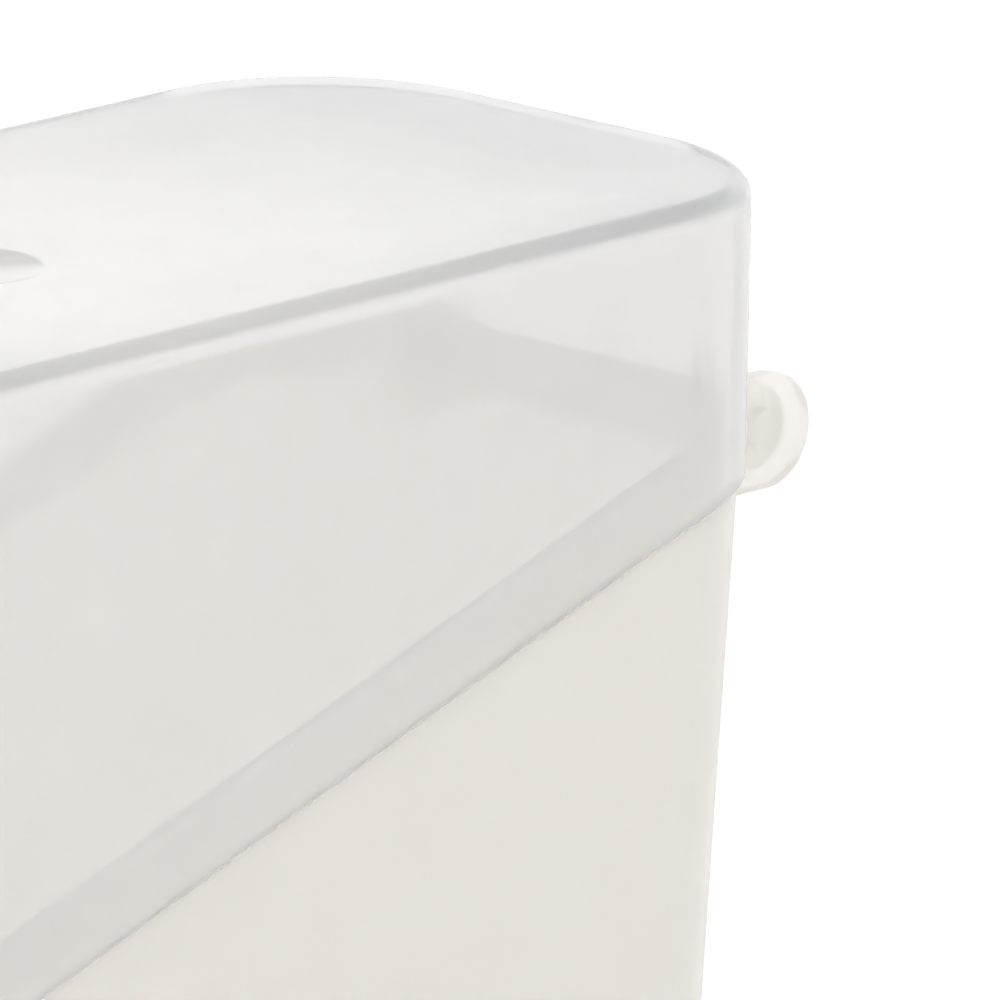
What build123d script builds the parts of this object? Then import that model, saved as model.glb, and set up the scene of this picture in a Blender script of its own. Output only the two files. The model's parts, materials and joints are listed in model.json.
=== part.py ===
from build123d import *
from math import cos, radians, sqrt, tan
import os

# Upright container for sliced cheese: a tapered box with a slanted mouth, and a deep flip-top lid.
# Millimetres. +X is the long way, towards the hinge. Y is the thin way, and +Z is up.
# The origin is on the underside of the box, below the middle of the lid.

# Driving dimensions of the closed container
LENGTH = 117.0
THICKNESS = 48.0
HEIGHT = 100.0
CORNER_RADIUS = 15.0

# Lid: a straight-sided cap with a slightly sunk top and a round dimple where it was moulded
LID_WALL = 1.1
LID_TOP = 1.4
LID_TOP_ROUND = 1.65
LID_CEILING_ROUND = 0.8
LID_RIM_ROUND = 0.25
DISH_START = 3.0
DISH_END = 14.0
DISH_DEPTH = 0.7
DISH_BRIM = 0.1
DIMPLE_RADIUS = 5.3
DIMPLE_DEPTH = 0.6

# Mouth of the box: level beside the hinge, then falling away in a straight slope
MOUTH_LEVEL = 84.2
LEVEL_RUN = 10.2
MOUTH_SLOPE = 17.7
BEND_RADIUS = 45.0
MOUTH_ROUND = 0.3

# The lid's rim runs parallel to the mouth, this far below it and towards the low end
OVERLAP = 4.6
RIM_SHIFT = 1.0

# Box: a neck inside the lid, a ledge under the lid's rim, and leaning walls below the ledge
LEDGE_INSET = 0.53
BODY_WALL = 2.0
FLOOR = 2.0
END_DRAFT = 3.0
SIDE_DRAFT = 0.8
NECK_GAP = 0.35
LEDGE_GAP = 0.35
BASE_ROUND = 2.5
FLOOR_ROUND = 2.0

# Hinge: two ears on the box with a blind bore each, and inside them two lugs on the lid with a trunnion each
PIVOT_OUT = 3.0
PIVOT_DOWN = 19.85
EAR_RADIUS = 3.95
EAR_THICKNESS = 1.5
EAR_OUTER_Y = 15.5
EAR_ROOT = 3.3
EAR_SKIN = 0.6
EAR_ROUND = 0.25
LUG_RADIUS = 2.9
LUG_THICKNESS = 1.8
LUG_ROOT = 1.0
GUSSET_REACH = 2.5
GUSSET_RISE = 3.6
SIDE_GAP = 0.3
SLOT_RISE = 0.35
TRUNNION_RADIUS = 1.5
TRUNNION_BEVEL = 0.3
TRUNNION_SHORT = 0.1
BORE_FIT = 0.07

# Blanks run past what they are cut with by MARGIN; edges count as on a curve within TOLERANCE
MARGIN = 5.0
TOLERANCE = 0.01

# Places worked out from the driving dimensions
HALF_LENGTH = LENGTH / 2
HALF_THICKNESS = THICKNESS / 2
PIVOT_X = HALF_LENGTH + PIVOT_OUT
PIVOT_Z = HEIGHT - PIVOT_DOWN
BEND_X = HALF_LENGTH - LEVEL_RUN
SLOPE = tan(radians(MOUTH_SLOPE))
RIM_LEVEL = MOUTH_LEVEL - OVERLAP
RIM_LOW = RIM_LEVEL - (BEND_X - RIM_SHIFT + HALF_LENGTH) * SLOPE
EAR_INNER_Y = EAR_OUTER_Y - EAR_THICKNESS
BORE_END_Y = EAR_OUTER_Y - EAR_SKIN
LUG_OUTER_Y = EAR_INNER_Y - SIDE_GAP


def mouth_height(x):
    """Height of the mouth at a place along the box."""
    tangent = BEND_RADIUS * tan(radians(MOUTH_SLOPE / 2))
    level_end = BEND_X + tangent
    slope_start = BEND_X - tangent * cos(radians(MOUTH_SLOPE))
    if x >= level_end:
        return MOUTH_LEVEL
    if x <= slope_start:
        return MOUTH_LEVEL - (BEND_X - x) * SLOPE
    return MOUTH_LEVEL - BEND_RADIUS + sqrt(BEND_RADIUS**2 - (level_end - x) ** 2)


def curve_edges(solid, shift_x, shift_z):
    """A solid's edges along the mouth's curve, after the curve is moved by the two shifts."""
    found = []
    for edge in solid.edges():
        places = [edge @ part for part in (0.0, 0.3, 0.7, 1.0)]
        heights = [mouth_height(place.X - shift_x) + shift_z for place in places]
        if all(abs(place.Z - height) < TOLERANCE for place, height in zip(places, heights)):
            found.append(edge)
    return found


def above_mouth(shift_x, shift_z):
    """All the space above the mouth's curve, with the curve moved by the two shifts."""
    bend_x = BEND_X + shift_x
    bend_z = MOUTH_LEVEL + shift_z
    end_x = HALF_LENGTH + MARGIN
    low_z = bend_z - (bend_x + end_x) * SLOPE
    top_z = HEIGHT + MARGIN
    corners = [(end_x, top_z), (end_x, bend_z), (bend_x, bend_z), (-end_x, low_z), (-end_x, top_z)]
    face = make_face(Polyline(*corners, close=True))
    bend = face.vertices().sort_by_distance((bend_x, bend_z, 0))[0]
    face = fillet(bend, BEND_RADIUS)
    return extrude(Plane.XZ * face, amount=HALF_THICKNESS + MARGIN, both=True)


def lid_outline(inset):
    """The lid's outline seen from above, moved in by inset."""
    return RectangleRounded(LENGTH - 2 * inset, THICKNESS - 2 * inset, CORNER_RADIUS - inset)


def box_outline(inset, z):
    """The box's leaning walls cut at height z, moved in by inset."""
    end_lean = tan(radians(END_DRAFT))
    side_lean = tan(radians(SIDE_DRAFT))
    x_high = HALF_LENGTH - LEDGE_INSET - inset - (RIM_LEVEL - z) * end_lean
    x_low = LEDGE_INSET + inset + (RIM_LOW - z) * end_lean - HALF_LENGTH
    half_y = HALF_THICKNESS - LEDGE_INSET - inset - (RIM_LEVEL - z) * side_lean
    radius = CORNER_RADIUS - LEDGE_INSET - inset
    return Pos((x_low + x_high) / 2, 0, z) * RectangleRounded(x_high - x_low, 2 * half_y, radius)


def leaning_block(inset, z_low):
    """Solid between the leaning walls, from z_low up past the mouth."""
    return loft([box_outline(inset, z_low), box_outline(inset, MOUTH_LEVEL + MARGIN)], ruled=True)


def plate(face, y_low, y_high):
    """A face drawn in X and Z made into a plate on the +Y side, between two distances from the middle."""
    plane = Plane(origin=(0, y_high, 0), x_dir=(1, 0, 0), z_dir=(0, -1, 0))
    return extrude(plane * face, amount=y_high - y_low)


def both_sides(solid):
    """The same piece on the +Y side and the -Y side."""
    return solid + mirror(solid, Plane.XZ)


def pivot_bar(root_x, z_low, z_high):
    """Rectangle from a root to the pivot's axis, between two heights above the pivot."""
    middle = Pos((root_x + PIVOT_X) / 2, PIVOT_Z + (z_low + z_high) / 2)
    return middle * Rectangle(PIVOT_X - root_x, z_high - z_low)


def make_ears():
    """Ears with round ends, square to the hinge's axis, with a bore in each one's inner face."""
    outline = Pos(PIVOT_X, PIVOT_Z) * Circle(EAR_RADIUS)
    outline += pivot_bar(HALF_LENGTH - EAR_ROOT, -EAR_RADIUS, EAR_RADIUS)
    ear = plate(outline, EAR_INNER_Y, EAR_OUTER_Y)
    outer_edges = ear.faces().sort_by(Axis.Y)[-1].edges()
    ear = fillet(outer_edges, EAR_ROUND)
    bore = Pos(PIVOT_X, PIVOT_Z) * Circle(TRUNNION_RADIUS + BORE_FIT)
    ear -= plate(bore, EAR_INNER_Y - SIDE_GAP, BORE_END_Y)
    return both_sides(ear)


def make_body():
    """The open box: leaning walls, ledge, neck, slanted mouth and hinge ears."""
    block = leaning_block(0, 0)
    block = fillet(block.faces().sort_by(Axis.Z)[0].edges(), BASE_ROUND)
    neck = extrude(lid_outline(LID_WALL + NECK_GAP), amount=HEIGHT)
    block -= above_mouth(-RIM_SHIFT, -OVERLAP - LEDGE_GAP) - neck
    hollow = leaning_block(BODY_WALL, FLOOR)
    hollow = fillet(hollow.faces().sort_by(Axis.Z)[0].edges(), FLOOR_ROUND)
    box = block - hollow - above_mouth(0, 0)
    box = fillet(curve_edges(box, 0, 0), MOUTH_ROUND)
    return box + make_ears()


def make_lugs():
    """Lugs that stand inside the ears, each with a gusset above it and a trunnion pointing outwards."""
    root_x = HALF_LENGTH - LUG_ROOT
    rim_z = RIM_LEVEL - PIVOT_Z
    outline = Pos(PIVOT_X, PIVOT_Z) * Circle(LUG_RADIUS)
    outline += pivot_bar(root_x, rim_z, LUG_RADIUS)
    foot_z = PIVOT_Z + LUG_RADIUS
    gusset = [(root_x, foot_z), (HALF_LENGTH + GUSSET_REACH, foot_z), (HALF_LENGTH, foot_z + GUSSET_RISE)]
    gusset.append((root_x, foot_z + GUSSET_RISE))
    outline += make_face(Polyline(*gusset, close=True))
    lug = plate(outline, LUG_OUTER_Y - LUG_THICKNESS, LUG_OUTER_Y)
    tip_y = BORE_END_Y - TRUNNION_SHORT
    trunnion = plate(Pos(PIVOT_X, PIVOT_Z) * Circle(TRUNNION_RADIUS), LUG_OUTER_Y, tip_y)
    trunnion = chamfer(trunnion.faces().sort_by(Axis.Y)[-1].edges(), TRUNNION_BEVEL)
    return both_sides(lug + trunnion)


def dish(z_edge):
    """What the dish takes away: gently sloping sides from its edge's height down to a flat middle."""
    lean = (DISH_END - DISH_START) / DISH_DEPTH
    z_middle = z_edge - DISH_DEPTH
    middle = Pos(0, 0, z_middle) * lid_outline(DISH_END)
    brim = Pos(0, 0, z_edge + DISH_BRIM) * lid_outline(DISH_START - DISH_BRIM * lean)
    return loft([middle, brim], ruled=True)


def make_lid():
    """The deep cap: dished top, straight skirt with a slanted rim, slots for the ears, and the hinge lugs."""
    cap = extrude(lid_outline(0), amount=HEIGHT)
    cap = fillet(cap.faces().sort_by(Axis.Z)[-1].edges(), LID_TOP_ROUND)
    cap -= dish(HEIGHT)
    hollow = extrude(lid_outline(LID_WALL), amount=HEIGHT - LID_TOP)
    hollow = fillet(hollow.faces().sort_by(Axis.Z)[-1].edges(), LID_CEILING_ROUND)
    hollow -= dish(HEIGHT - LID_TOP)
    skirt = (cap - hollow) & above_mouth(-RIM_SHIFT, -OVERLAP)
    skirt = fillet(curve_edges(skirt, -RIM_SHIFT, -OVERLAP), LID_RIM_ROUND)
    slot_top = EAR_RADIUS + SLOT_RISE
    slot = pivot_bar(HALF_LENGTH - CORNER_RADIUS, -MARGIN, slot_top)
    skirt -= both_sides(plate(slot, EAR_INNER_Y - SIDE_GAP, EAR_OUTER_Y + SIDE_GAP))
    dimple_round = (DIMPLE_RADIUS**2 + DIMPLE_DEPTH**2) / (2 * DIMPLE_DEPTH)
    skirt -= Pos(0, 0, HEIGHT - DISH_DEPTH - DIMPLE_DEPTH + dimple_round) * Sphere(dimple_round)
    return skirt + make_lugs()


parts = {"box_body": make_body(), "flip_lid": make_lid()}
os.makedirs("parts", exist_ok=True)
for name, solid in parts.items():
    export_step(solid, f"parts/{name}.step")
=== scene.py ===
import json
import math

import bmesh
import bpy
from mathutils import Matrix, Vector


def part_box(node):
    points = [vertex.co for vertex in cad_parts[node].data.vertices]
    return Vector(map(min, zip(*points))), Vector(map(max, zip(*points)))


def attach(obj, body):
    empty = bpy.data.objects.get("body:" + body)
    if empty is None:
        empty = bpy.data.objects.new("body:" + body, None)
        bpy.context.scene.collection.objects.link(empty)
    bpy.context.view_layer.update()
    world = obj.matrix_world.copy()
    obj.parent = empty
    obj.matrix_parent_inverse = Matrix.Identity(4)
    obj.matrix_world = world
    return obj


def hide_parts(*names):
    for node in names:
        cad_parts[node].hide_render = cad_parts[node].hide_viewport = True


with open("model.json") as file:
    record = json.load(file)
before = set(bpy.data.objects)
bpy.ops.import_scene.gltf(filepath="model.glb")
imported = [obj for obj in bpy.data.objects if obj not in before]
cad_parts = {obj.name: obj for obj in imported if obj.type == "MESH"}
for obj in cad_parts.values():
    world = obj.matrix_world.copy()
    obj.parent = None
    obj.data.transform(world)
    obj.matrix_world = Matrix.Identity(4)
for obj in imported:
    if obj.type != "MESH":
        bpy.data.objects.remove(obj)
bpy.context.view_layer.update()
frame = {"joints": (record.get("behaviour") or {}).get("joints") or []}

MM = 0.001

# Camera: where the photograph was taken from, in metres and degrees, and its focal length
CAMERA_PLACE = (-0.6752, -0.6476, 0.3311)
CAMERA_AZIMUTH = -48.305
CAMERA_ELEVATION = 14.78
CAMERA_ROLL = 1.087
FOCAL_PIXELS = 15036.0
FRAME_PIXELS = 1000.0
SENSOR_MM = 36.0
CAMERA_NEAR = 0.05
CAMERA_FAR = 50.0

# Millimetres from here on. The outside comes from the frame.
LID_LOW, LID_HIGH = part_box("flip_lid")
HALF_LENGTH = -LID_LOW[0] / MM
HALF_THICKNESS = LID_HIGH[1] / MM
HEIGHT = LID_HIGH[2] / MM
HINGE = frame["joints"][0]["pos_m"]
PIVOT_X = HINGE[0] / MM
PIVOT_Z = HINGE[2] / MM
CORNER_RADIUS = 15.0

# Lid
LID_WALL = 1.1
LID_TOP = 1.4
LID_TOP_ROUND = 1.65
LID_CEILING_ROUND = 0.8
LID_RIM_ROUND = 0.25
DISH_START = 2.2
DISH_END = 14.0
DISH_DEPTH = 0.7
DIMPLE_RADIUS = 5.3
DIMPLE_DEPTH = 0.6
DIMPLE_POWER = 2.6
CEILING_MIDDLE = 4.0

# Mouth of the box, and the lid's rim parallel to it
MOUTH_LEVEL = 84.2
LEVEL_RUN = 10.2
MOUTH_SLOPE = math.radians(17.7)
BEND_RADIUS = 45.0
MOUTH_ROUND = 0.3
OVERLAP = 4.6
RIM_SHIFT = 1.0
BEND_X = HALF_LENGTH - LEVEL_RUN
RIM_LEVEL = MOUTH_LEVEL - OVERLAP
RIM_LOW = RIM_LEVEL - (BEND_X - RIM_SHIFT + HALF_LENGTH) * math.tan(MOUTH_SLOPE)

# Box
LEDGE_INSET = 0.53
BODY_WALL = 2.0
FLOOR = 2.0
END_LEAN = math.tan(math.radians(3.0))
SIDE_LEAN = math.tan(math.radians(0.8))
NECK_GAP = 0.35
LEDGE_GAP = 0.35
LEDGE_ROUND = 0.2
BASE_ROUND = 2.5
FLOOR_ROUND = 2.0
BOX_RADIUS = CORNER_RADIUS - LEDGE_INSET
GATE_RADIUS = 3.0
GATE_DEPTH = 0.35
GATE_POWER = 3

# Hinge
EAR_RADIUS = 3.935
EAR_INNER_Y = 14.0
EAR_OUTER_Y = 15.5
EAR_ROOT_X = 55.2
EAR_SKIN = 0.6
EAR_ROUND = 0.25
SIDE_GAP = 0.3
SLOT_RISE = 0.35
SLOT_TOP = PIVOT_Z + EAR_RADIUS + SLOT_RISE
SLOT_NEAR_Y = EAR_INNER_Y - SIDE_GAP
SLOT_FAR_Y = EAR_OUTER_Y + SIDE_GAP
BORE_RADIUS = 1.57
LUG_RADIUS = 2.9
LUG_THICKNESS = 1.8
LUG_ROUND = 0.12
LUG_SINK = 1.0
LUG_ROOT_X = HALF_LENGTH - LUG_SINK
GUSSET_REACH = 2.5
GUSSET_RISE = 3.6
TRUNNION_RADIUS = 1.5
TRUNNION_BEVEL = 0.3
TRUNNION_SHORT = 0.1
SEAM_SHY = 0.02

# Studio: the light from all round, how much more comes from behind, a soft lamp above, and the floor
WORLD_LEVEL = 0.88
BACK_EXTRA = 0.85
BACK_RISE = 0.3
LAMP_POWER = 0.6
LAMP_SIZE = 0.8
LAMP_PLACE = (-0.2, 0.2, 0.95)
FLOOR_SIZE = 3.0
FLOOR_SHADE = 0.85
FLOOR_GLOW = 0.14

# Lid: frosted clear plastic; its top carries painted shade, greyer with the distance from its middle
LID_NEAR = (0.982, 0.979, 0.973)
# Painted shade: the grey that the lid's top is given far from its middle
LID_TOP_PAINTED_SHADE = (0.76, 0.765, 0.775)
LID_PAINTED_SHADE_REACH = (8.0, 50.0)
LID_PAINTED_SHADE_HEIGHTS = (98.6, 99.3)
LID_ROUGH = (0.08, 0.10)
LID_CLEAR = (0.615, 0.63)
LID_BEND = 1.2
LID_SCATTER = 2.0
LID_SCATTER_SHARES = (1.0, 0.98, 0.96)
LID_DEPTH_TINT = (0.5, 0.5, 0.5)
LID_DEPTH = 8.0

# Box: milky, slightly warm plastic
BOX_PALE = (0.995, 0.967, 0.923)
BOX_WARM = (0.993, 0.960, 0.908)
BOX_ROUGH = (0.28, 0.34)
BOX_CLEAR = (0.46, 0.50)
BOX_BEND = 1.2
BOX_SCATTER = 1.5
BOX_SCATTER_SHARES = (1.0, 0.95, 0.9)
BOX_DEPTH_TINT = (0.60, 0.56, 0.48)
BOX_DEPTH = 10.0

# Gloss of both plastics
PLASTIC_GLOSS = 0.05

# Sizes of the marks in the plastic, how deep or strong each is, and the band that most of a noise fills
FROST = 0.1
FROST_DEPTH = 0.002
RIPPLE = 16.0
RIPPLE_DEPTH = 0.01
RELIEF_DETAIL = 2.0
CLOUD = 12.0
CLOUD_DETAIL = 3.0
HAZE = 3.0
HAZE_DETAIL = 4.0
LID_UNEVEN = 0.03
NOISE_BAND = (0.35, 0.65)

# How finely the meshes are divided
SIDE_STEPS = 60
END_STEPS = 10
CORNER_BREAK_STEPS = (6, 4, 16)
ROUND_STEPS = 6
DISH_STEPS = 14
BLEND_STEPS = 8
DIMPLE_STEPS = 12
DIMPLE_REACH = 0.94
LID_WALL_STEPS = 8
SKIRT_STEPS = 12
GATE_STEPS = 5
BASE_STEPS = 6
BODY_STEPS = 20
NECK_STEPS = 4
PLATE_TURNS = 96
SETTLE_ROUNDS = 6
NEARLY_PARALLEL = 1e-9
SLACK = 1e-6
SHARP_ANGLE = math.radians(32)


def mouth_height(x):
    """Height of the mouth at a place along the box."""
    tangent = BEND_RADIUS * math.tan(MOUTH_SLOPE / 2)
    level_end = BEND_X + tangent
    slope_start = BEND_X - tangent * math.cos(MOUTH_SLOPE)
    if x >= level_end:
        return MOUTH_LEVEL
    if x <= slope_start:
        return MOUTH_LEVEL - (BEND_X - x) * math.tan(MOUTH_SLOPE)
    return MOUTH_LEVEL - BEND_RADIUS + math.sqrt(BEND_RADIUS**2 - (level_end - x) ** 2)


def rim_height(x):
    """Height of the lid's rim, which is the mouth's curve moved down and towards the low end."""
    return mouth_height(x + RIM_SHIFT) - OVERLAP


def ledge_height(x):
    """Height of the box's ledge, just under the lid's rim."""
    return rim_height(x) - LEDGE_GAP


def steps(low, high, count):
    """Evenly spaced values after low, up to and with high."""
    return [low + (high - low) * (index + 1) / count for index in range(count)]


def corner_angles(wall_radius):
    """Angles over a quarter turn from the end's middle, split where the slot's sides cut such a wall."""
    centre_y = HALF_THICKNESS - CORNER_RADIUS
    breaks = [math.asin((y - centre_y) / wall_radius) for y in (SLOT_NEAR_Y, SLOT_FAR_Y)]
    angles = [0.0]
    for low, high, count in zip([0.0] + breaks, breaks + [math.pi / 2], CORNER_BREAK_STEPS):
        angles += steps(low, high, count)
    return angles


def make_columns(wall_radius):
    """Places round the outline: a corner's number, the share of the way to the next one, and a direction."""
    quarter = corner_angles(wall_radius)
    back = [math.pi / 2 - angle for angle in reversed(quarter)]
    columns = []
    for corner in range(4):
        angles = quarter if corner % 2 == 0 else back
        columns += [(corner, 0.0, corner * math.pi / 2 + angle) for angle in angles]
        straight = SIDE_STEPS if corner % 2 == 0 else END_STEPS
        turn = (corner + 1) * math.pi / 2
        columns += [(corner, share, turn) for share in steps(0.0, 1.0, straight)[:-1]]
    return columns


def on_outline(column, centres, radius):
    """The point of a column on an outline with these corner centres and this corner radius."""
    corner, share, angle = column
    here = centres[corner]
    there = centres[(corner + 1) % 4]
    x = here[0] + (there[0] - here[0]) * share + radius * math.cos(angle)
    y = here[1] + (there[1] - here[1]) * share + radius * math.sin(angle)
    return x, y


def four_centres(x_high, x_low, y):
    """Corner centres in the order of the columns."""
    return [(x_high, y), (x_low, y), (x_low, -y), (x_high, -y)]


LID_CENTRES = four_centres(
    HALF_LENGTH - CORNER_RADIUS, CORNER_RADIUS - HALF_LENGTH, HALF_THICKNESS - CORNER_RADIUS)


def lid_point(column, inset):
    """A point on the lid's outline moved in by inset."""
    return on_outline(column, LID_CENTRES, CORNER_RADIUS - inset)


def box_point(column, inset, z):
    """A point on the box's leaning walls at height z, moved in by inset."""
    x_high = HALF_LENGTH - LEDGE_INSET - (RIM_LEVEL - z) * END_LEAN - BOX_RADIUS
    x_low = LEDGE_INSET + (RIM_LOW - z) * END_LEAN - HALF_LENGTH + BOX_RADIUS
    y = HALF_THICKNESS - LEDGE_INSET - (RIM_LEVEL - z) * SIDE_LEAN - BOX_RADIUS
    return on_outline(column, four_centres(x_high, x_low, y), BOX_RADIUS - inset)


def round_profile(radius):
    """Steps over a quarter round: how far in, and how far along, from its first tangent to its second."""
    turns = [index * math.pi / 2 / ROUND_STEPS for index in range(ROUND_STEPS + 1)]
    return [(radius * (1 - math.cos(turn)), radius * (1 - math.sin(turn))) for turn in turns]


def smooth_step(value):
    """0 up to 0, 1 from 1 on, and a smooth curve between."""
    value = min(max(value, 0.0), 1.0)
    return value * value * (3 - 2 * value)


def add_ring(mesh, points):
    """A ring of new vertices."""
    return [mesh.verts.new(Vector(point) * MM) for point in points]


def join_rings(mesh, first, second):
    """Quads between two closed rings of as many points."""
    count = len(first)
    for index in range(count):
        after = (index + 1) % count
        mesh.faces.new((first[index], first[after], second[after], second[index]))


def close_ring(mesh, ring, point):
    """Triangles from a ring to one point."""
    tip = mesh.verts.new(Vector(point) * MM)
    count = len(ring)
    for index in range(count):
        mesh.faces.new((ring[index], ring[(index + 1) % count], tip))


def loft(mesh, rings, start, end):
    """A closed skin through rings, with a point at each end."""
    made = [add_ring(mesh, ring) for ring in rings]
    for first, second in zip(made, made[1:]):
        join_rings(mesh, first, second)
    close_ring(mesh, made[0], start)
    close_ring(mesh, made[-1], end)


def finish_mesh(mesh, name):
    """A linked object with its faces turned outwards."""
    bmesh.ops.recalc_face_normals(mesh, faces=mesh.faces)
    data = bpy.data.meshes.new(name)
    mesh.to_mesh(data)
    mesh.free()
    piece = bpy.data.objects.new(name, data)
    bpy.context.scene.collection.objects.link(piece)
    return piece


def lid_sink(inset):
    """How far the dished top and ceiling lie below their edge."""
    return DISH_DEPTH * smooth_step((inset - DISH_START) / (DISH_END - DISH_START))


def disc_rings(columns, edge_inset, edge_z, dimple_radius, dimple_depth):
    """Rings of points over a lid-shaped face: in from its edge, then blending into a round dimple."""
    rings = []
    for inset in [edge_inset] + steps(edge_inset, DISH_END, DISH_STEPS):
        z = edge_z - lid_sink(inset)
        rings.append([(*lid_point(column, inset), z) for column in columns])
    dimple_z = edge_z - DISH_DEPTH
    outer = rings[-1]
    reach_x = max(point[0] for point in outer)
    reach_y = max(point[1] for point in outer)
    turns = [math.atan2(point[1] / reach_y, point[0] / reach_x) for point in outer]
    for share in steps(0.0, 1.0, BLEND_STEPS):
        ring = []
        for point, turn in zip(outer, turns):
            x = point[0] + (dimple_radius * math.cos(turn) - point[0]) * share
            y = point[1] + (dimple_radius * math.sin(turn) - point[1]) * share
            ring.append((x, y, dimple_z))
        rings.append(ring)
    for share in steps(0.0, DIMPLE_REACH, DIMPLE_STEPS):
        left = 1 - share
        z = dimple_z - dimple_depth * (1 - left**DIMPLE_POWER)
        radius = dimple_radius * left
        ring = [(radius * math.cos(turn), radius * math.sin(turn), z) for turn in turns]
        rings.append(ring)
    return rings


def lid_wall_rows(columns, inset, top):
    """Rows down a lid wall: to the slots' top, and from there to the start of the rim's rounding."""
    levels = [top] + steps(top, SLOT_TOP, LID_WALL_STEPS)
    rows = [[(*lid_point(column, inset), z) for column in columns] for z in levels]
    for share in steps(0.0, 1.0, SKIRT_STEPS):
        row = []
        for column in columns:
            x, y = lid_point(column, inset)
            row.append((x, y, SLOT_TOP + (rim_height(x) + LID_RIM_ROUND - SLOT_TOP) * share))
        rows.append(row)
    return rows


def slot_segments(columns):
    """Which steps round the outline lie inside a slot, and the two columns at each slot's sides."""
    first = CORNER_BREAK_STEPS[0]
    last = first + CORNER_BREAK_STEPS[1]
    corner_three = next(index for index, column in enumerate(columns) if column[0] == 3)
    arc = sum(CORNER_BREAK_STEPS)
    mirrored = (corner_three + arc - last, corner_three + arc - first)
    spans = [(first, last), mirrored]
    inside = {index for low, high in spans for index in range(low, high)}
    return inside, [edge for span in spans for edge in span]


def make_lid_shell():
    """The lid's cap: dished top, rounded edge, straight skirt, slanted rim and ear slots."""
    outer_columns = make_columns(CORNER_RADIUS)
    inner_columns = make_columns(CORNER_RADIUS - LID_WALL)
    inside, slot_edges = slot_segments(outer_columns)
    count = len(outer_columns)
    mesh = bmesh.new()

    outer = list(reversed(disc_rings(outer_columns, LID_TOP_ROUND, HEIGHT, DIMPLE_RADIUS, DIMPLE_DEPTH)))
    for inset, drop in reversed(round_profile(LID_TOP_ROUND)[:-1]):
        outer.append([(*lid_point(column, inset), HEIGHT - drop) for column in outer_columns])
    outer += lid_wall_rows(outer_columns, 0.0, HEIGHT - LID_TOP_ROUND)[1:]

    ceiling = HEIGHT - LID_TOP
    edge_inset = LID_WALL + LID_CEILING_ROUND
    inner = list(reversed(disc_rings(inner_columns, edge_inset, ceiling, CEILING_MIDDLE, 0.0)))
    for inset, drop in reversed(round_profile(LID_CEILING_ROUND)[:-1]):
        inner.append([(*lid_point(column, LID_WALL + inset), ceiling - drop) for column in inner_columns])
    inner += lid_wall_rows(inner_columns, LID_WALL, ceiling - LID_CEILING_ROUND)[1:]

    lip = []
    for inset, rise in round_profile(LID_RIM_ROUND)[1:]:
        places = [lid_point(column, inset) for column in outer_columns]
        lip.append([(x, y, rim_height(x) + rise) for x, y in places])
    for inset, rise in reversed(round_profile(LID_RIM_ROUND)[1:]):
        places = [lid_point(column, LID_WALL - inset) for column in inner_columns]
        lip.append([(x, y, rim_height(x) + rise) for x, y in places])

    rows = outer + lip + list(reversed(inner))
    cut_first = len(outer) - SKIRT_STEPS - 1
    cut_last = len(outer) + len(lip) + SKIRT_STEPS
    grid = {}

    def corner_vert(row, column):
        if (row, column) not in grid:
            grid[(row, column)] = mesh.verts.new(Vector(rows[row][column]) * MM)
        return grid[(row, column)]

    for row in range(len(rows) - 1):
        for column in range(count):
            if column in inside and cut_first <= row < cut_last:
                continue
            after = (column + 1) % count
            mesh.faces.new((corner_vert(row, column), corner_vert(row, after),
                            corner_vert(row + 1, after), corner_vert(row + 1, column)))
    for column in inside:
        mesh.faces.new((corner_vert(cut_first, column), corner_vert(cut_first, column + 1),
                        corner_vert(cut_last, column + 1), corner_vert(cut_last, column)))
    for column in slot_edges:
        mesh.faces.new([corner_vert(row, column) for row in range(cut_first, cut_last + 1)])
    for row, z in ((0, HEIGHT - DISH_DEPTH - DIMPLE_DEPTH), (len(rows) - 1, ceiling - DISH_DEPTH)):
        close_ring(mesh, [corner_vert(row, column) for column in range(count)], (0, 0, z))
    return finish_mesh(mesh, "lid_cap")


def star_outline(polygon, radius):
    """Directions and distances from the pivot to the edge of a circle joined with a polygon."""
    corners = [math.atan2(z, x) % (2 * math.pi) for x, z in polygon]
    turns = sorted(set([index * 2 * math.pi / PLATE_TURNS for index in range(PLATE_TURNS)] + corners))
    outline = []
    for turn in turns:
        way = Vector((math.cos(turn), math.sin(turn)))
        far = radius
        for start, end in zip(polygon, polygon[1:] + polygon[:1]):
            start, end = Vector(start), Vector(end)
            edge = end - start
            across = way.x * edge.y - way.y * edge.x
            if abs(across) < NEARLY_PARALLEL:
                continue
            distance = (start.x * edge.y - start.y * edge.x) / across
            share = (start.x * way.y - start.y * way.x) / across
            if distance > 0 and -SLACK <= share <= 1 + SLACK:
                far = max(far, distance)
        outline.append((way, far))
    return outline


def plate_ring(outline, inset, y):
    """The plate's edge at a place across, moved in by inset."""
    return [(PIVOT_X + way.x * (far - inset), y, PIVOT_Z + way.y * (far - inset)) for way, far in outline]


def circle_ring(outline, radius, y):
    """A circle round the pivot with the same directions as the plate's edge."""
    return [(PIVOT_X + way.x * radius, y, PIVOT_Z + way.y * radius) for way, far in outline]


def mirrored(rings, side):
    """Rings on the side 1 or -1."""
    return [[(x, y * side, z) for x, y, z in ring] for ring in rings]


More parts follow.
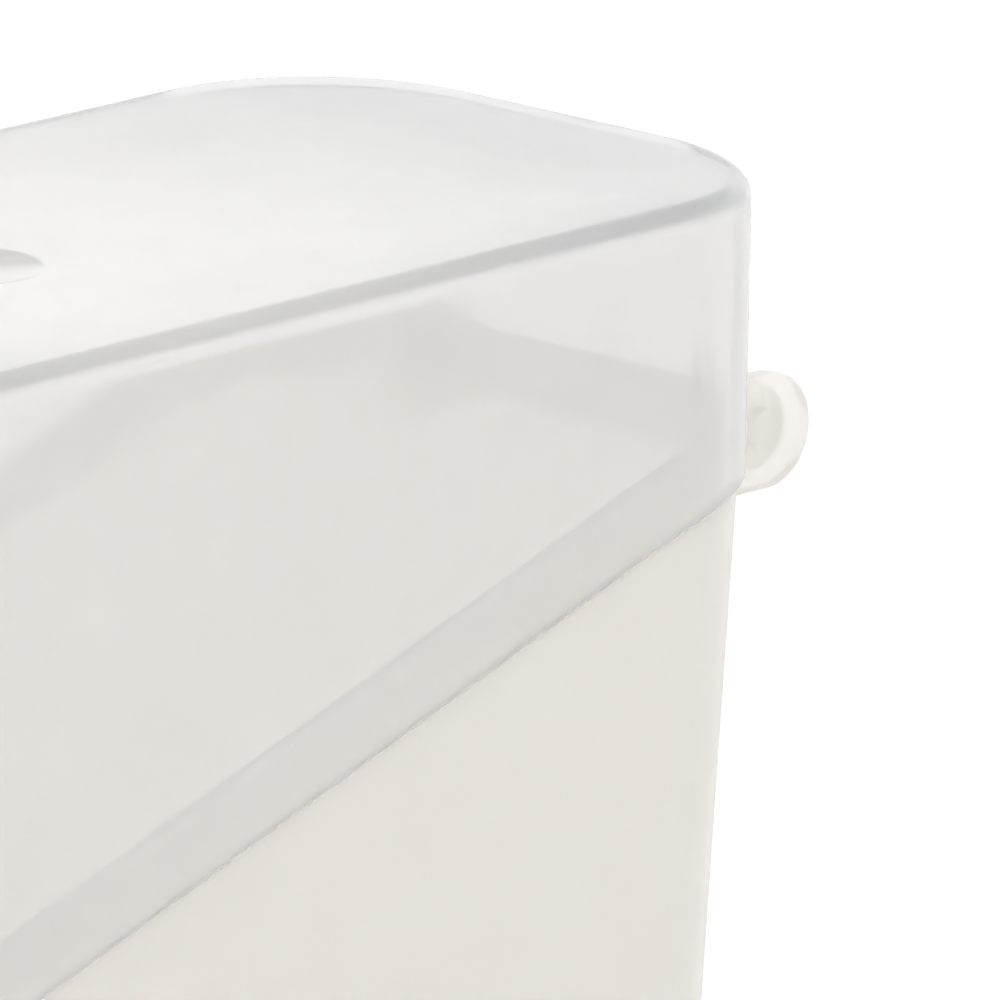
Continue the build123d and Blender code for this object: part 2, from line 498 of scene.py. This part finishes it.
def make_ear(side):
    """A round-ended ear with a rounded outer face and a blind bore in its inner face."""
    root = EAR_ROOT_X - PIVOT_X
    polygon = [(root, -EAR_RADIUS), (0, -EAR_RADIUS), (0, EAR_RADIUS), (root, EAR_RADIUS)]
    outline = star_outline(polygon, EAR_RADIUS)
    bore_end = EAR_OUTER_Y - EAR_SKIN
    rings = [circle_ring(outline, BORE_RADIUS, bore_end), circle_ring(outline, BORE_RADIUS, EAR_INNER_Y)]
    for inset, rise in reversed(round_profile(LUG_ROUND)):
        rings.append(plate_ring(outline, inset, EAR_INNER_Y + rise))
    rings += [plate_ring(outline, inset, EAR_OUTER_Y - rise) for inset, rise in round_profile(EAR_ROUND)]
    mesh = bmesh.new()
    ends = [(PIVOT_X, bore_end * side, PIVOT_Z), (PIVOT_X, EAR_OUTER_Y * side, PIVOT_Z)]
    loft(mesh, mirrored(rings, side), *ends)
    return finish_mesh(mesh, "ear")


def make_lug(side):
    """A lug with its gusset and the trunnion on its outer face."""
    root = LUG_ROOT_X - PIVOT_X
    foot = RIM_LEVEL + SEAM_SHY - PIVOT_Z
    face_x = HALF_LENGTH - PIVOT_X
    polygon = [(root, foot), (0, foot), (0, LUG_RADIUS), (face_x + GUSSET_REACH, LUG_RADIUS)]
    polygon += [(face_x, LUG_RADIUS + GUSSET_RISE), (root, LUG_RADIUS + GUSSET_RISE)]
    outline = star_outline(polygon, LUG_RADIUS)
    outer = SLOT_NEAR_Y - SEAM_SHY
    inner = SLOT_NEAR_Y - LUG_THICKNESS
    tip = EAR_OUTER_Y - EAR_SKIN - TRUNNION_SHORT
    rings = [plate_ring(outline, inset, inner + rise) for inset, rise in reversed(round_profile(LUG_ROUND))]
    rings += [plate_ring(outline, inset, outer - rise) for inset, rise in round_profile(LUG_ROUND)]
    rings += [circle_ring(outline, TRUNNION_RADIUS, outer)]
    rings += [circle_ring(outline, TRUNNION_RADIUS, tip - TRUNNION_BEVEL)]
    rings += [circle_ring(outline, TRUNNION_RADIUS - TRUNNION_BEVEL, tip)]
    mesh = bmesh.new()
    ends = [(PIVOT_X, inner * side, PIVOT_Z), (PIVOT_X, tip * side, PIVOT_Z)]
    loft(mesh, mirrored(rings, side), *ends)
    return finish_mesh(mesh, "lug")


def settle(column, inset, height):
    """A point on a leaning wall whose height follows a curve along the box."""
    z = MOUTH_LEVEL
    for _ in range(SETTLE_ROUNDS):
        x, y = box_point(column, inset, z)
        z = height(x)
    return x, y, z


def make_box_shell():
    """The open box: rounded base, leaning walls, ledge, neck, slanted mouth, and the inside."""
    columns = make_columns(CORNER_RADIUS)
    mesh = bmesh.new()
    rows = []
    reach = max(box_point(column, BASE_ROUND, 0.0)[1] for column in columns)
    flat = [box_point(column, BASE_ROUND, 0.0) for column in columns]
    centre_x = (min(x for x, y in flat) + max(x for x, y in flat)) / 2
    reach_x = max(x for x, y in flat) - centre_x
    turns = [math.atan2(y / reach, (x - centre_x) / reach_x) for x, y in flat]
    for share in steps(0.0, 1.0, GATE_STEPS):
        radius = GATE_RADIUS * share
        z = GATE_DEPTH * (1 - share**GATE_POWER)
        rows.append([(centre_x + radius * math.cos(turn), radius * math.sin(turn), z) for turn in turns])
    for share in steps(0.0, 1.0, BASE_STEPS)[:-1]:
        row = []
        for (x, y), turn in zip(flat, turns):
            circle_x = centre_x + GATE_RADIUS * math.cos(turn)
            circle_y = GATE_RADIUS * math.sin(turn)
            row.append((circle_x + (x - circle_x) * share, circle_y + (y - circle_y) * share, 0.0))
        rows.append(row)
    for inset, rise in reversed(round_profile(BASE_ROUND)):
        rows.append([(*box_point(column, inset, rise), rise) for column in columns])
    wall_top = [settle(column, 0.0, lambda x: ledge_height(x) - LEDGE_ROUND) for column in columns]
    for share in steps(0.0, 1.0, BODY_STEPS):
        row = []
        for column, top in zip(columns, wall_top):
            z = BASE_ROUND + (top[2] - BASE_ROUND) * share
            row.append((*box_point(column, 0.0, z), z))
        rows.append(row)
    for inset, drop in round_profile(LEDGE_ROUND)[1:]:
        rows.append([settle(column, inset, lambda x, drop=drop: ledge_height(x) - drop)
                     for column in columns])
    neck = [lid_point(column, LID_WALL + NECK_GAP) for column in columns]
    rows.append([(x, y, ledge_height(x)) for x, y in neck])
    for share in steps(0.0, 1.0, NECK_STEPS):
        rows.append([(x, y, ledge_height(x) + (mouth_height(x) - MOUTH_ROUND - ledge_height(x)) * share)
                     for x, y in neck])
    for inset, drop in round_profile(MOUTH_ROUND)[1:]:
        places = [lid_point(column, LID_WALL + NECK_GAP + inset) for column in columns]
        rows.append([(x, y, mouth_height(x) - drop) for x, y in places])
    for inset, drop in reversed(round_profile(MOUTH_ROUND)):
        rows.append([settle(column, BODY_WALL - inset, lambda x, drop=drop: mouth_height(x) - drop)
                     for column in columns])
    inner_top = rows[-1]
    floor_start = FLOOR + FLOOR_ROUND
    for share in steps(0.0, 1.0, BODY_STEPS):
        row = []
        for column, top in zip(columns, inner_top):
            z = top[2] + (floor_start - top[2]) * share
            row.append((*box_point(column, BODY_WALL, z), z))
        rows.append(row)
    for inset, rise in round_profile(FLOOR_ROUND)[1:]:
        z = FLOOR + rise
        rows.append([(*box_point(column, BODY_WALL + inset, z), z) for column in columns])
    made = [add_ring(mesh, row) for row in rows]
    for first, second in zip(made, made[1:]):
        join_rings(mesh, first, second)
    close_ring(mesh, made[0], (centre_x, 0, GATE_DEPTH))
    close_ring(mesh, made[-1], (centre_x, 0, FLOOR))
    return finish_mesh(mesh, "box_shell")


def fuse(piece, others):
    """One moulding from a shell and the pieces that grow out of it."""
    for other in others:
        union = piece.modifiers.new("union", "BOOLEAN")
        union.operation = "UNION"
        union.solver = "EXACT"
        union.object = other
    graph = bpy.context.evaluated_depsgraph_get()
    data = bpy.data.meshes.new_from_object(piece.evaluated_get(graph))
    piece.modifiers.clear()
    piece.data = data
    for other in others:
        bpy.data.objects.remove(other)
    for polygon in data.polygons:
        polygon.use_smooth = True
    data.set_sharp_from_angle(angle=SHARP_ANGLE)
    weighted = piece.modifiers.new("weighted normals", "WEIGHTED_NORMAL")
    weighted.keep_sharp = True
    return piece


def make_camera():
    """The camera at the photograph's place, angle and focal length."""
    azimuth = math.radians(CAMERA_AZIMUTH)
    elevation = math.radians(CAMERA_ELEVATION)
    roll = math.radians(CAMERA_ROLL)
    level = math.cos(elevation)
    back = Vector((math.sin(azimuth) * level, -math.cos(azimuth) * level, math.sin(elevation)))
    across = Vector((math.cos(azimuth), math.sin(azimuth), 0))
    up = back.cross(across)
    right = across * math.cos(roll) + up * math.sin(roll)
    up = up * math.cos(roll) - across * math.sin(roll)
    camera = bpy.data.objects.new("camera", bpy.data.cameras.new("camera"))
    camera.data.sensor_width = SENSOR_MM
    camera.data.lens = FOCAL_PIXELS / FRAME_PIXELS * SENSOR_MM
    camera.data.clip_start = CAMERA_NEAR
    camera.data.clip_end = CAMERA_FAR
    turn = Matrix((right, up, back)).transposed()
    camera.matrix_world = Matrix.Translation(CAMERA_PLACE) @ turn.to_4x4()
    bpy.context.scene.collection.objects.link(camera)
    bpy.context.scene.camera = camera


def new_material(name):
    """A material with an empty node tree."""
    material = bpy.data.materials.new(name)
    material.use_nodes = True
    material.node_tree.nodes.clear()
    return material, material.node_tree


def add(tree, kind, **values):
    """A node with its settings, and its sockets' values under their names."""
    node = tree.nodes.new(kind)
    for key, value in values.items():
        if hasattr(node, key):
            setattr(node, key, value)
        else:
            node.inputs[key.replace("_", " ")].default_value = value
    return node


def spread(tree, value, low, high, start=NOISE_BAND[0], end=NOISE_BAND[1]):
    """Turns a value from start to end, where most of a noise lies, into one from low to high."""
    node = add(tree, "ShaderNodeMapRange", From_Min=start, From_Max=end, To_Min=low, To_Max=high)
    tree.links.new(value, node.inputs["Value"])
    return node.outputs["Result"]


def seen_directly(tree):
    """1 for what the camera, gloss and clear plastic show, 0 for the light that falls on things."""
    path = add(tree, "ShaderNodeLightPath")
    first = add(tree, "ShaderNodeMath", operation="MAXIMUM")
    tree.links.new(path.outputs["Is Camera Ray"], first.inputs[0])
    tree.links.new(path.outputs["Is Glossy Ray"], first.inputs[1])
    second = add(tree, "ShaderNodeMath", operation="MAXIMUM")
    tree.links.new(first.outputs[0], second.inputs[0])
    tree.links.new(path.outputs["Is Transmission Ray"], second.inputs[1])
    return second.outputs[0]


def make_world():
    """White to look at; its light is soft from all round, and stronger from behind the object."""
    world = bpy.data.worlds.new("studio")
    bpy.context.scene.world = world
    world.use_nodes = True
    tree = world.node_tree
    back = tree.nodes["Background"]
    back.inputs["Color"].default_value = (1, 1, 1, 1)
    azimuth = math.radians(CAMERA_AZIMUTH)
    behind = Vector((-math.sin(azimuth), math.cos(azimuth), BACK_RISE)).normalized()
    where = add(tree, "ShaderNodeTexCoord")
    facing = add(tree, "ShaderNodeVectorMath", operation="DOT_PRODUCT")
    facing.inputs[1].default_value = behind
    tree.links.new(where.outputs["Generated"], facing.inputs[0])
    light = add(tree, "ShaderNodeMapRange", interpolation_type="SMOOTHSTEP")
    light.inputs["To Min"].default_value = WORLD_LEVEL
    light.inputs["To Max"].default_value = WORLD_LEVEL + BACK_EXTRA
    tree.links.new(facing.outputs["Value"], light.inputs["Value"])
    level = add(tree, "ShaderNodeMapRange", To_Max=1.0)
    tree.links.new(seen_directly(tree), level.inputs["Value"])
    tree.links.new(light.outputs["Result"], level.inputs["To Min"])
    tree.links.new(level.outputs["Result"], back.inputs["Strength"])


def make_floor():
    """A pale floor that glows a little to look at, so that it is white and still keeps a shadow."""
    mesh = bpy.data.meshes.new("floor")
    corners = [(-FLOOR_SIZE, -FLOOR_SIZE, 0), (FLOOR_SIZE, -FLOOR_SIZE, 0)]
    corners += [(FLOOR_SIZE, FLOOR_SIZE, 0), (-FLOOR_SIZE, FLOOR_SIZE, 0)]
    mesh.from_pydata(corners, [], [(0, 1, 2, 3)])
    floor = bpy.data.objects.new("floor", mesh)
    bpy.context.scene.collection.objects.link(floor)
    material, tree = new_material("pale_floor")
    out = add(tree, "ShaderNodeOutputMaterial")
    diffuse = add(tree, "ShaderNodeBsdfDiffuse", Color=(FLOOR_SHADE, FLOOR_SHADE, FLOOR_SHADE, 1))
    glow = add(tree, "ShaderNodeEmission", Color=(1, 1, 1, 1))
    tree.links.new(spread(tree, seen_directly(tree), 0.0, FLOOR_GLOW, 0.0, 1.0), glow.inputs["Strength"])
    both = add(tree, "ShaderNodeAddShader")
    tree.links.new(diffuse.outputs[0], both.inputs[0])
    tree.links.new(glow.outputs[0], both.inputs[1])
    tree.links.new(both.outputs[0], out.inputs["Surface"])
    mesh.materials.append(material)


def make_lamp():
    """A soft lamp above, turned to the lid."""
    lamp = bpy.data.lights.new("key", "AREA")
    lamp.shape = "DISK"
    lamp.size = LAMP_SIZE
    lamp.energy = LAMP_POWER
    holder = bpy.data.objects.new("key", lamp)
    place = Vector(LAMP_PLACE)
    way = place - Vector((0, 0, HEIGHT * MM))
    holder.matrix_world = Matrix.Translation(place) @ way.to_track_quat("Z", "Y").to_matrix().to_4x4()
    bpy.context.scene.collection.objects.link(holder)


def grain(tree, where, size, detail=RELIEF_DETAIL):
    """Cloudy noise that is fixed to the piece, with marks of this size in millimetres."""
    noise = add(tree, "ShaderNodeTexNoise", Detail=detail, Scale=1 / (size * MM))
    tree.links.new(where, noise.inputs["Vector"])
    return noise.outputs["Fac"]


def mixed(tree, share, first, second):
    """A colour between two others."""
    mix = add(tree, "ShaderNodeMix", data_type="RGBA")
    mix.inputs[6].default_value = (*first, 1)
    mix.inputs[7].default_value = (*second, 1)
    tree.links.new(share, mix.inputs[0])
    return mix.outputs[2]


def painted_shade_share(tree, where, near, far):
    """0 near the middle of the lid's top, 1 far from it, for the painted shade that greys the top."""
    away = add(tree, "ShaderNodeVectorMath", operation="DISTANCE")
    away.inputs[1].default_value = (0, 0, HEIGHT * MM)
    tree.links.new(where, away.inputs[0])
    return spread(tree, away.outputs["Value"], 0.0, 1.0, near * MM, far * MM)


def relief(tree, shader, layers):
    """Bumps from the coarsest to the finest: each layer's noise and its depth in millimetres."""
    normal = None
    for height, depth in layers:
        bump = add(tree, "ShaderNodeBump", Distance=depth * MM)
        tree.links.new(height, bump.inputs["Height"])
        if normal is not None:
            tree.links.new(normal, bump.inputs["Normal"])
        normal = bump.outputs["Normal"]
    tree.links.new(normal, shader.inputs["Normal"])


def cloudy_plastic(name, bend, scatter, shares, tint, depth):
    """Plastic that scatters light just under its outer skin and darkens with the way through it."""
    material, tree = new_material(name)
    out = add(tree, "ShaderNodeOutputMaterial")
    shader = add(tree, "ShaderNodeBsdfPrincipled", IOR=bend, Subsurface_Radius=shares)
    shader.inputs["Subsurface Scale"].default_value = scatter * MM
    shader.inputs["Specular IOR Level"].default_value = PLASTIC_GLOSS
    side = add(tree, "ShaderNodeNewGeometry")
    outer = spread(tree, side.outputs["Backfacing"], 1.0, 0.0, 0.0, 1.0)
    tree.links.new(outer, shader.inputs["Subsurface Weight"])
    inside = add(tree, "ShaderNodeVolumeAbsorption", Color=(*tint, 1), Density=depth)
    tree.links.new(shader.outputs[0], out.inputs["Surface"])
    tree.links.new(inside.outputs[0], out.inputs["Volume"])
    where = add(tree, "ShaderNodeTexCoord").outputs["Object"]
    layers = [(grain(tree, where, RIPPLE), RIPPLE_DEPTH), (grain(tree, where, FROST), FROST_DEPTH)]
    relief(tree, shader, layers)
    return material, tree, shader, where


def lid_look():
    """The lid's plastic: clear and frosted, with painted shade that greys its top with the distance from the
    middle.
    """
    material, tree, shader, where = cloudy_plastic(
        "lid_look", LID_BEND, LID_SCATTER, LID_SCATTER_SHARES, LID_DEPTH_TINT, LID_DEPTH)
    cloud = grain(tree, where, CLOUD, CLOUD_DETAIL)
    haze = grain(tree, where, HAZE, HAZE_DETAIL)
    # Painted shade: the top's colour greys with the distance from its middle, standing in for shade towards
    # its far edges
    painted_shade = painted_shade_share(tree, where, *LID_PAINTED_SHADE_REACH)
    place = add(tree, "ShaderNodeSeparateXYZ")
    tree.links.new(where, place.inputs[0])
    on_top = spread(tree, place.outputs["Z"], 0.0, 1.0, LID_PAINTED_SHADE_HEIGHTS[0] * MM, LID_PAINTED_SHADE_HEIGHTS[1] * MM)
    share = add(tree, "ShaderNodeMath", operation="MULTIPLY")
    tree.links.new(painted_shade, share.inputs[0])
    tree.links.new(on_top, share.inputs[1])
    painted_shade_and_cloud = add(tree, "ShaderNodeMath", operation="ADD")
    tree.links.new(share.outputs[0], painted_shade_and_cloud.inputs[0])
    tree.links.new(spread(tree, cloud, -LID_UNEVEN, LID_UNEVEN), painted_shade_and_cloud.inputs[1])
    tree.links.new(mixed(tree, painted_shade_and_cloud.outputs[0], LID_NEAR, LID_TOP_PAINTED_SHADE), shader.inputs["Base Color"])
    tree.links.new(spread(tree, haze, *LID_ROUGH), shader.inputs["Roughness"])
    tree.links.new(spread(tree, cloud, *LID_CLEAR), shader.inputs["Transmission Weight"])
    return material


def box_look():
    """The box's plastic: milkier and warmer, unevenly clouded."""
    material, tree, shader, where = cloudy_plastic(
        "box_look", BOX_BEND, BOX_SCATTER, BOX_SCATTER_SHARES, BOX_DEPTH_TINT, BOX_DEPTH)
    cloud = grain(tree, where, CLOUD, CLOUD_DETAIL)
    haze = grain(tree, where, HAZE, HAZE_DETAIL)
    tree.links.new(mixed(tree, cloud, BOX_PALE, BOX_WARM), shader.inputs["Base Color"])
    tree.links.new(spread(tree, haze, *BOX_ROUGH), shader.inputs["Roughness"])
    tree.links.new(spread(tree, cloud, *BOX_CLEAR), shader.inputs["Transmission Weight"])
    return material


make_camera()
make_world()
make_floor()
make_lamp()
lid = fuse(make_lid_shell(), [make_lug(1), make_lug(-1)])
lid.data.materials.clear()
lid.data.materials.append(lid_look())
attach(lid, "lid")
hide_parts("flip_lid")
box = fuse(make_box_shell(), [make_ear(1), make_ear(-1)])
box.data.materials.clear()
box.data.materials.append(box_look())
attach(box, "box")
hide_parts("box_body")

scene = bpy.context.scene
scene.cycles.max_bounces = 24
scene.cycles.diffuse_bounces = 12
scene.cycles.transmission_bounces = 16
scene.cycles.glossy_bounces = 6
scene.view_settings.view_transform = "Standard"
